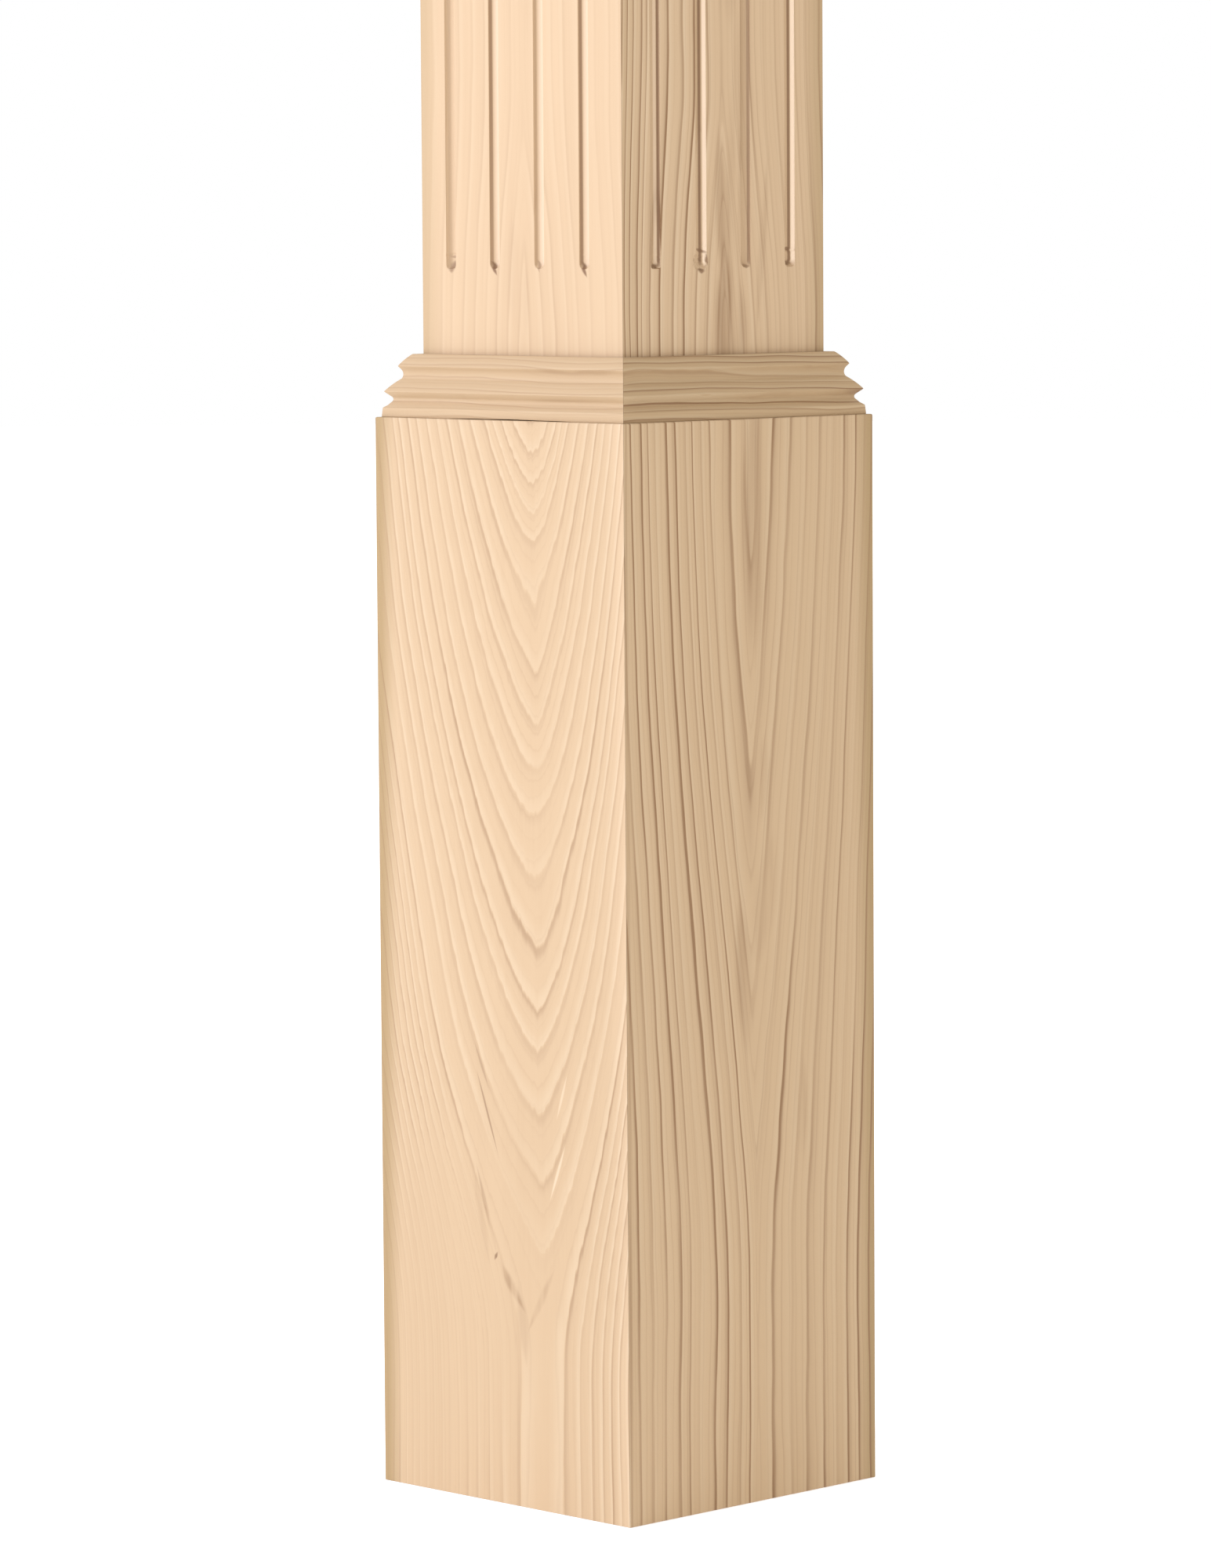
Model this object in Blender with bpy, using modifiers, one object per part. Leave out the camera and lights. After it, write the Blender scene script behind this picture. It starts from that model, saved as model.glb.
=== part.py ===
"""Fluted box newel post.

A hollow square post of four mitred boards stands inside a wider plain base of four more. A mitred
moulding collar closes the step between the two, and a cove moulding and a low pyramid cap finish
the top. All sizes are in metres, Z is up, and the origin is in the middle of the underside.
"""

import math

import bmesh
import bpy
from mathutils import Matrix, Vector

# Shaft
SHAFT_SIDE = 0.127
SHAFT_BOARD = 0.01905
SHAFT_SHOWN = 0.659

# Base box round the foot of the shaft
BASE_BOARD = 0.0151
BASE_HEIGHT = 0.4826
BASE_EASE = 0.0006

# Flutes, of the same size on all four faces of the shaft
FLUTE_COUNT = 4
FLUTE_WIDTH = 0.0062
FLUTE_DEPTH = 0.0024
FLUTE_EDGE = 0.0212
FLUTE_STOP = 0.038

# How far the flutes lie off the middle of each board, which was run through the router by itself
FLUTE_SHIFT = {"front": -0.0024, "right": -0.0007, "back": 0.0, "left": 0.0}

# Collar moulding on the base's top edge
COLLAR_HEIGHT = 0.0278
COLLAR_REVEAL = 0.0021

# Cove moulding under the cap
CAP_MOULDING_HEIGHT = 0.018
CAP_MOULDING_OUT = 0.015

# Cap
CAP_OVERHANG = 0.019
CAP_THICKNESS = 0.019
CAP_RISE = 0.012
CAP_LEDGE = 0.005
CAP_EASE = 0.0015

# Clearance that every joint between two pieces keeps
FIT_GAP = 0.0003

# Smoothness of the round stretches; the rings are odd in number, so that none lies at mid height
FLUTE_SEGMENTS = 20
FLUTE_RINGS = 9
ARC_STEPS = 6
EASE_SEGMENTS = 2
CREASE_ANGLE = math.radians(25)

# Sizes that follow from the ones above
COLLAR_BOTTOM = BASE_HEIGHT + FIT_GAP
COLLAR_TOP = COLLAR_BOTTOM + COLLAR_HEIGHT
CAP_MOULDING_BOTTOM = COLLAR_TOP + SHAFT_SHOWN
SHAFT_TOP = CAP_MOULDING_BOTTOM + CAP_MOULDING_HEIGHT
CAP_BOTTOM = SHAFT_TOP + FIT_GAP
SHAFT_HALF = SHAFT_SIDE / 2
BASE_HALF = SHAFT_HALF + FIT_GAP + BASE_BOARD
COLLAR_OUT = BASE_HALF - SHAFT_HALF - COLLAR_REVEAL
MITRE_SETBACK = FIT_GAP / math.sqrt(2)

# The four sides, each turned about the post's axis from the front, which faces -Y
SIDES = {"front": 0, "right": 90, "back": 180, "left": 270}

# The collar's outline from its top ledge down, as shares of how far it stands out and of its
# height, with the bow of the stretch that leads to each point as a share of the height: a sloped
# top, a lip over a shallow hollow, a longer slope, a second lip over a deeper hollow, and a foot.
COLLAR_OUTLINE = (
    (0.248, 0.000, 0.000),
    (0.605, 0.192, 0.010),
    (0.549, 0.227, 0.000),
    (0.515, 0.392, -0.027),
    (0.940, 0.597, 0.010),
    (0.748, 0.680, 0.000),
    (0.759, 0.763, -0.018),
    (0.842, 0.809, 0.000),
    (0.970, 0.853, 0.000),
    (1.000, 1.000, 0.000),
)

# The cap moulding's outline in the same form: a square edge, a quarter-round hollow and a fillet
CAP_MOULDING_OUTLINE = (
    (1.000, 0.000, 0.000),
    (1.000, 0.170, 0.000),
    (0.850, 0.170, 0.000),
    (0.220, 0.780, -0.158),
    (0.220, 1.000, 0.000),
)

PINE = (0.84, 0.66, 0.46, 1.0)
PINE_SHADE = (0.78, 0.59, 0.39, 1.0)


def clear_scene():
    """Take away whatever the scene holds."""
    for item in list(bpy.data.objects):
        bpy.data.objects.remove(item, do_unlink=True)


def make_collection(name):
    """Make a collection in the scene and return it."""
    collection = bpy.data.collections.new(name)
    bpy.context.scene.collection.children.link(collection)
    return collection


def make_material(name, colour):
    """Make unfinished wood of one colour."""
    material = bpy.data.materials.new(name)
    material.use_nodes = True
    shader = material.node_tree.nodes["Principled BSDF"]
    shader.inputs["Base Color"].default_value = colour
    shader.inputs["Roughness"].default_value = 0.62
    shader.inputs["Metallic"].default_value = 0.0
    material.diffuse_color = colour
    return material


def mesh_from(bm, name):
    """Turn a bmesh into a mesh with its faces pointing out."""
    bmesh.ops.recalc_face_normals(bm, faces=bm.faces)
    mesh = bpy.data.meshes.new(name)
    bm.to_mesh(mesh)
    bm.free()
    return mesh


def board_mesh(name, half, thickness, bottom, top):
    """Make a mitred board for the front side, its outer face at -Y and half as wide as the box."""
    outer = half - MITRE_SETBACK
    bm = bmesh.new()
    bmesh.ops.create_cube(bm, size=1.0)
    for vert in bm.verts:
        inside = vert.co.y > 0
        reach = outer - thickness if inside else outer
        vert.co.x = math.copysign(reach, vert.co.x)
        vert.co.y = thickness - half if inside else -half
        vert.co.z = top if vert.co.z > 0 else bottom
    return mesh_from(bm, name)


def ease_top_edge(mesh, half, width):
    """Round the upper outer edge of a front board a little."""
    bm = bmesh.new()
    bm.from_mesh(mesh)
    top = max(vert.co.z for vert in bm.verts)
    on_edge = {vert for vert in bm.verts if vert.co.z == top and vert.co.y < -half + width}
    edges = [edge for edge in bm.edges if on_edge.issuperset(edge.verts)]
    bmesh.ops.bevel(bm, geom=edges, offset=width, segments=EASE_SEGMENTS, profile=0.5, affect="EDGES")
    bm.to_mesh(mesh)
    bm.free()


def stretch(start, end, bow):
    """Points from one outline point to the next, the first left out, along a straight or an arc.

    The bow is the arc's height over its chord, positive where the wood swells outwards.
    """
    if bow == 0.0:
        return [end]
    run = math.dist(start, end)
    radius = (run * run / 4 + bow * bow) / (2 * abs(bow))
    half_turn = math.asin(min(1.0, run / (2 * radius)))
    along = ((end[0] - start[0]) / run, (end[1] - start[1]) / run)
    across = (-along[1], along[0])
    side = math.copysign(1.0, bow)
    points = []
    for step in range(1, ARC_STEPS + 1):
        angle = half_turn * (2 * step / ARC_STEPS - 1)
        forward = run / 2 + radius * math.sin(angle)
        aside = side * (radius * math.cos(angle) - radius * math.cos(half_turn))
        points.append((
            start[0] + along[0] * forward + across[0] * aside,
            start[1] + along[1] * forward + across[1] * aside,
        ))
    return points


def outline_points(outline, reach, height):
    """Work out an outline in metres, as (out from the shaft, up from the moulding's bottom)."""
    corners = [(out * reach, (1 - down) * height) for out, down, _ in outline]
    points = [(FIT_GAP, height), corners[0]]
    for start, end, shape in zip(corners, corners[1:], outline[1:]):
        points += stretch(start, end, shape[2] * height)
    points.append((FIT_GAP, 0.0))
    return points


def moulding_mesh(name, outline, reach, height, bottom):
    """Make a mitred length of moulding for the front side of the shaft."""
    bm = bmesh.new()
    section = [bm.verts.new((0, out, up)) for out, up in outline_points(outline, reach, height)]
    rim = [bm.edges.new(pair) for pair in zip(section, section[1:] + section[:1])]
    end_face = bmesh.ops.edgeloop_fill(bm, edges=rim)["faces"]
    swept = bmesh.ops.extrude_face_region(bm, geom=end_face, use_keep_orig=True)["geom"]
    far_end = {item for item in swept if isinstance(item, bmesh.types.BMVert)}
    for vert in bm.verts:
        out = vert.co.y
        reach_here = SHAFT_HALF + out - MITRE_SETBACK
        vert.co.x = reach_here if vert in far_end else -reach_here
        vert.co.y = -SHAFT_HALF - out
        vert.co.z += bottom
    mesh = mesh_from(bm, name)
    mesh.shade_smooth()
    mesh.set_sharp_from_angle(angle=CREASE_ANGLE)
    return mesh


def flute_cutter_mesh():
    """Make the ball-ended bars that cut the flutes of the front board, one bar for each flute."""
    radius = (FLUTE_WIDTH * FLUTE_WIDTH / 4 + FLUTE_DEPTH * FLUTE_DEPTH) / (2 * FLUTE_DEPTH)
    ball = radius / math.cos(math.pi / (2 * FLUTE_RINGS))
    low = COLLAR_TOP + FLUTE_STOP + radius
    high = CAP_MOULDING_BOTTOM - FLUTE_STOP - radius
    pitch = (SHAFT_SIDE - 2 * FLUTE_EDGE) / (FLUTE_COUNT - 1)
    bm = bmesh.new()
    for number in range(FLUTE_COUNT):
        x = -SHAFT_HALF + FLUTE_EDGE + number * pitch
        new = bmesh.ops.create_uvsphere(bm, u_segments=FLUTE_SEGMENTS, v_segments=FLUTE_RINGS, radius=ball)
        for vert in new["verts"]:
            vert.co.x += x
            vert.co.y += FLUTE_DEPTH - radius - SHAFT_HALF
            vert.co.z += high if vert.co.z > 0 else low
    mesh = mesh_from(bm, "flute_cutter")
    mesh.shade_smooth()
    return mesh


def cap_mesh():
    """Make the cap: a square board whose top slopes from a narrow ledge to a low point."""
    bm = bmesh.new()
    bmesh.ops.create_cube(bm, size=1.0)
    side = SHAFT_SIDE + 2 * CAP_OVERHANG
    for vert in bm.verts:
        vert.co.x *= side
        vert.co.y *= side
        vert.co.z = CAP_THICKNESS if vert.co.z > 0 else 0.0
    bm.faces.ensure_lookup_table()
    top = max(bm.faces, key=lambda face: face.calc_center_median().z)
    bmesh.ops.inset_region(bm, faces=[top], thickness=CAP_LEDGE, use_even_offset=True)
    peak = bmesh.ops.poke(bm, faces=[top])["verts"][0]
    peak.co.z += CAP_RISE
    return mesh_from(bm, "cap")


def add_object(name, mesh, collection, parent, turn=0):
    """Place a mesh in the scene as an object, turned about the post's axis."""
    item = bpy.data.objects.new(name, mesh)
    item.rotation_euler.z = math.radians(turn)
    item.parent = parent
    collection.objects.link(item)
    return item


def give_material(item, material):
    """Give one object its own material, also where it shares its mesh."""
    if not item.data.materials:
        item.data.materials.append(None)
    item.material_slots[0].link = "OBJECT"
    item.material_slots[0].material = material


def add_four(name, mesh, parts, root, colour):
    """Place one mitred length on each side of the post and return the four by side."""
    placed = {}
    for side, turn in SIDES.items():
        item = add_object(f"{name}_{side}", mesh, parts, root, turn)
        give_material(item, make_material(f"{name}_{side}_wood", colour))
        placed[side] = item
    return placed


def build_base(parts, root):
    """Build the wide base box."""
    mesh = board_mesh("base_board", BASE_HALF, BASE_BOARD, 0.0, BASE_HEIGHT)
    ease_top_edge(mesh, BASE_HALF, BASE_EASE)
    add_four("base_board", mesh, parts, root, PINE)


def build_shaft(parts, cutters, root):
    """Build the fluted shaft, which runs down inside the base to the floor."""
    mesh = board_mesh("shaft_board", SHAFT_HALF, SHAFT_BOARD, 0.0, SHAFT_TOP)
    boards = add_four("shaft_board", mesh, parts, root, PINE)
    cutter_mesh = flute_cutter_mesh()
    for side, turn in SIDES.items():
        cutter = add_object(f"flute_cutter_{side}", cutter_mesh, cutters, root, turn)
        cutter.location = Matrix.Rotation(math.radians(turn), 3, "Z") @ Vector((FLUTE_SHIFT[side], 0, 0))
        cutter.hide_render = True
        cutter.display_type = "WIRE"
        cut = boards[side].modifiers.new("flutes", "BOOLEAN")
        cut.operation = "DIFFERENCE"
        cut.solver = "EXACT"
        cut.object = cutter


def build_collar(parts, root):
    """Build the moulding collar that stands on the base's top edge."""
    mesh = moulding_mesh("collar_moulding", COLLAR_OUTLINE, COLLAR_OUT, COLLAR_HEIGHT, COLLAR_BOTTOM)
    add_four("collar_moulding", mesh, parts, root, PINE_SHADE)


def build_cap(parts, root):
    """Build the cap and the cove moulding under it."""
    mesh = moulding_mesh(
        "cap_moulding", CAP_MOULDING_OUTLINE, CAP_MOULDING_OUT, CAP_MOULDING_HEIGHT, CAP_MOULDING_BOTTOM
    )
    add_four("cap_moulding", mesh, parts, root, PINE_SHADE)
    cap = add_object("cap", cap_mesh(), parts, root)
    cap.location.z = CAP_BOTTOM
    give_material(cap, make_material("cap_wood", PINE))
    ease = cap.modifiers.new("eased edges", "BEVEL")
    ease.width = CAP_EASE
    ease.segments = EASE_SEGMENTS
    ease.limit_method = "ANGLE"
    ease.angle_limit = math.radians(60)


def main():
    """Build the whole post."""
    clear_scene()
    parts = make_collection("box_newel_post")
    cutters = make_collection("cutters")
    root = bpy.data.objects.new("newel_post", None)
    parts.objects.link(root)
    build_base(parts, root)
    build_shaft(parts, cutters, root)
    build_collar(parts, root)
    build_cap(parts, root)


main()
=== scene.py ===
"""Fluted box newel post: fine meshes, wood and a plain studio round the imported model.

Every board and moulding is made again here with its eased edges, router marks and joints, and is
given wood whose growth rings run through it in depth. All sizes are in metres.
"""

import math
from dataclasses import dataclass

import bmesh
import bpy
from mathutils import Matrix, Vector, noise


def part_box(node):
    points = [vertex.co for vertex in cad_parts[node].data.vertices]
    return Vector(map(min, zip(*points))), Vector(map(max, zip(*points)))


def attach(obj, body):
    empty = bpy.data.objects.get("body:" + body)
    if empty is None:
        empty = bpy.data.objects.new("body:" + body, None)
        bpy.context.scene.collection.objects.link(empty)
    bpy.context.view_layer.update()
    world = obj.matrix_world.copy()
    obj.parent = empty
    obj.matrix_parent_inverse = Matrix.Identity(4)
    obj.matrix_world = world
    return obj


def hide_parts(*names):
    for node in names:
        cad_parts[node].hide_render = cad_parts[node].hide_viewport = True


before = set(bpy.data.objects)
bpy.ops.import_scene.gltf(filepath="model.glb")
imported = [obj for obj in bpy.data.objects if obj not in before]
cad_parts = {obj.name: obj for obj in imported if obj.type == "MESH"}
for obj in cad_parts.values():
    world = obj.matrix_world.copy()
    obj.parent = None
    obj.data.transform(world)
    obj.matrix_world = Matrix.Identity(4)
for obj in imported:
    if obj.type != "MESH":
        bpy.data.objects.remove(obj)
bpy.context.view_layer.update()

bl_info = {
    "name": "Fluted box newel post",
    "version": (1, 0, 0),
    "blender": (4, 5, 0),
    "location": "View3D > Sidebar > Newel Post",
    "description": "Builds a fluted box newel post of pale softwood in a plain studio",
    "category": "Add Mesh",
}

# The four sides, each turned about the post's axis from the front, which faces -Y
SIDES = {"front": 0, "right": 90, "back": 180, "left": 270}

# Corners of the front pieces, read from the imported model
BASE_LOW, BASE_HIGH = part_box("base_board_front")
SHAFT_LOW, SHAFT_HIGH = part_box("shaft_board_front")
COLLAR_LOW, COLLAR_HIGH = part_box("collar_moulding_front")
COVE_LOW, COVE_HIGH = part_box("cap_moulding_front")
CAP_LOW, CAP_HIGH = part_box("cap")
BASE_HALF = -BASE_LOW.y
SHAFT_HALF = -SHAFT_LOW.y

# Outlines from the top down, as shares of how far the moulding stands out and of its height, with
# the bow of the stretch that leads to each point as a share of the height
COLLAR_OUTLINE = (
    (0.248, 0.000, 0.000),
    (0.605, 0.192, 0.010),
    (0.549, 0.227, 0.000),
    (0.515, 0.392, -0.027),
    (0.940, 0.597, 0.010),
    (0.748, 0.680, 0.000),
    (0.759, 0.763, -0.018),
    (0.842, 0.809, 0.000),
    (0.970, 0.853, 0.000),
    (1.000, 1.000, 0.000),
)
COVE_OUTLINE = (
    (1.000, 0.000, 0.000),
    (1.000, 0.170, 0.000),
    (0.850, 0.170, 0.000),
    (0.220, 0.780, -0.158),
    (0.220, 1.000, 0.000),
)

# Fineness of the meshes: steps round a moulding's arcs, an eased edge and a flute, stations along a
# moulding, and the rows of a board near the flutes' ends and elsewhere
ARC_STEPS = 12
EASE_STEPS = 3
FLUTE_STEPS = 24
MOULDING_STATIONS = 60
END_ROW = 0.00025
SHANK_ROW = 0.02

# How far outside a flute's lip the face has columns, and how many half widths the close rows reach
# past a flute's lower and its upper end
LIP_COLUMNS = (0.00015, 0.0004, 0.0008, 0.0013, 0.0018, 0.0024)
CLOSE_BELOW = 1.6
CLOSE_ABOVE = 1.1

# The angles from which edges are shaded sharp, eased on a moulding, and eased on the cap
SHARP_ANGLE = math.radians(35)
CORNER_ANGLE = math.radians(20)
CAP_CORNER_ANGLE = math.radians(60)

# How the router left the lower end of each flute: how square it is (2 is round), the radius of the
# plunge mark round it and how far that lies aside, torn fibres, and chatter bars above the end
FLUTE_ENDS = {
    "front": (
        {"square": 4.0, "bars": ((0.0062, 0.0003),)},
        {"square": 2.2, "tear": 0.00012},
        {"square": 2.0},
        {"square": 2.4, "tear": 0.00015},
    ),
    "right": (
        {"square": 5.0, "tear": 0.00018},
        {"square": 2.0, "pocket": 0.0042, "pocket_aside": -0.0006, "tear": 0.00035},
        {"square": 2.2},
        {"square": 3.2, "bars": ((0.0022, 0.0005), (0.0075, 0.0005)), "tear": 0.0001},
    ),
    "back": ({}, {"tear": 0.0001}, {}, {"square": 2.6}),
    "left": ({"tear": 0.0001}, {}, {"square": 2.5}, {}),
}

# How far the flutes lie off the middle of their board
FLUTE_SHIFT = {"front": -0.0024, "right": -0.0007, "back": 0.0, "left": 0.0}

# A lip's reach over the face in easings, and the marks at a flute's lower end
LIP_REACH = 4
POCKET_FLATNESS = 0.45
TORN_LENGTH = 0.009
TORN_REACH = 0.0006
TORN_SCALE = 900.0
BAR_WIDTH = 0.0007

# The open joint under the front collar: its ends, how much its height changes, in how many waves a
# metre, and the height over which the collar's foot follows it
OPEN_FROM = -0.033
OPEN_TO = 0.044
OPEN_CHANGE = 0.35
OPEN_WAVES = 60.0
FOOT_HEIGHT = 0.003

# The cap
CAP_THICKNESS = 0.019
CAP_LEDGE = 0.005
CAP_EASE = 0.0015

# The studio: the gap over the floor, the colour of its light, and the spot that the lamps shine at
FLOOR_DROP = 0.0002
WHITE = (1.0, 1.0, 1.0, 1.0)
LIT_SPOT = Vector((0.0, 0.0, 0.5))

# Where a Mix node takes its share and two colours, and gives the mixed one
MIX_SOCKETS = (0, 6, 7)
MIX_RESULT = 2

# Noise in the wood: the step from one seed to the next, and features a metre across and along the
# grain, with the detail of some. Noise that follows the rings has none across.
SEED_STEP = 3.7
FLANK_DRIFT = (7.0, 4.5)
ARCH_DRIFT = (9.0, 7.0)
ARCH_CHANGES = (0.0, 14.0)
ARCH_FIBRES = (420.0, 9.0, 2.0)
WAVES = ((9.0, 6.0), (40.0, 14.0), (150.0, 40.0))
STREAKS = (160.0, 4.5, 2.0)
FINE_DRIFT = (9.0, 4.0)
RING_CHANGES = (0.0, 8.0)
BANDS = (0.0, 2.2)
PATCHES = (10.0, 3.0)
FIBRES = (1100.0, 30.0)

# Flanks: their drift, the share of the pull in a board's middle, how much less it is at the edge,
# and over how many rings two flanks merge
FLANK_WANDER = 0.004
PULL_MIDDLE = 1.75
PULL_FALL = 1.25
FLANK_MERGE = 0.5

# Arches: their drift, the noise between which points go from sharp to blunt and both radii, the
# inset that keeps points at their heights, half the width over which the flanks change over, the
# pull of fibres, and the height of the foot, where arches run out into straight grain, and its bend
ARCH_WANDER = 0.003
ARCH_POINTS = (-0.3, 0.4, 0.0015, 0.007)
ARCH_INSET = 0.004
ARCH_SWITCH = 0.004
ARCH_FEATHER = 0.0026
ARCH_FOOT = 0.10
ARCH_BEND = 0.06

# A ring, from its first wood at 0 to its last at 1: the soft shoulder's first start, how much later
# it can be and its full strength, the thin line's rise, the end of both and the share of each, a
# ring's least darkness and the range above it, and the offsets of its second dice and of its noise
SHOULDER_START = 0.30
SHOULDER_DELAY = 0.35
SHOULDER_FULL = 0.92
LINE_RISE = (0.74, 0.90)
RING_END = (1.0, 0.93)
SHOULDER_SHARE = 0.36
LINE_SHARE = 0.64
LEAST_SHADE = 0.30
SHADE_RANGE = 0.75
SECOND_DICE = 0.37
RING_STEP = 0.73

# From one value of noise or depth to another, the shares between which strength goes: of the rings
# along the grain and in depth, the cream beside them, the flames, and the painted shade and painted
# highlight along the flutes
RING_FADING = (-0.45, 0.45, 0.55, 1.0)
DEPTH_FADING = (0.0002, 0.0015, 1.0, 0.35)
CREAM_FADING = (-0.6, 0.3, 0.45, 1.0)
FLAME_FADING = (-0.4, 0.35, 0.1, 1.0)
FLUTE_SHADING_FADING = (-0.7, 0.1, 0.6, 1.0)

# Rings a metre into the wood, where in a ring the cream ends and is full, the finer lines to a
# ring, their drift and darkness, the darkness of fibres, and noise bands to a ring
DEPTH_RINGS = 180.0
CREAM_ENDS = (0.42, 0.02)
FINE_LINES = 2.6
FINE_WANDER = 1.5
FINE_DARKNESS = 0.22
FIBRE_DARKNESS = 0.03
RING_BANDS = 0.45

# What patches, bands and streaks add to the tone, and the range over which it turns warm
PATCH_TONE = 0.6
BAND_TONE = 0.35
STREAK_TONE = 0.35
TONE_RANGE = (-0.6, 0.6)

# The width of a board's dark margins, the heights over which the painted shade and painted highlight
# along the flutes set in, and how far out a lens ends and is full
MARGIN_WIDTH = 0.014
FLUTE_SHADING_START = (0.549, 0.552)
LENS_ENDS = (1.1, 0.25)

# The surface: roughness, what a dark line takes off it and fibres add, and the height of both
ROUGHNESS = 0.62
LINE_POLISH = 0.15
FIBRE_ROUGHNESS = 0.05
RELIEF = 0.3

# Grain along a moulding or across the cap: what all of it has, what each side's has, and seeds a
# metre of height
LYING_GRAIN = {"spacing": 0.005, "waves": (1.5, 0.6, 0.15), "edges": (0.0, 0.0)}
MOULDING_GRAIN = {
    "front": {"seed": 201.0, "line": 0.38, "cream": 0.3, "tone": 0.36},
    "right": {"seed": 221.0, "line": 1.25, "cream": 0.9, "tone": 0.50},
    "back": {"seed": 241.0, "line": 0.6, "cream": 0.5, "tone": 0.40},
    "left": {"seed": 261.0, "line": 0.6, "cream": 0.5, "tone": 0.40},
}
LEVEL_SEEDS = 10
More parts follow.
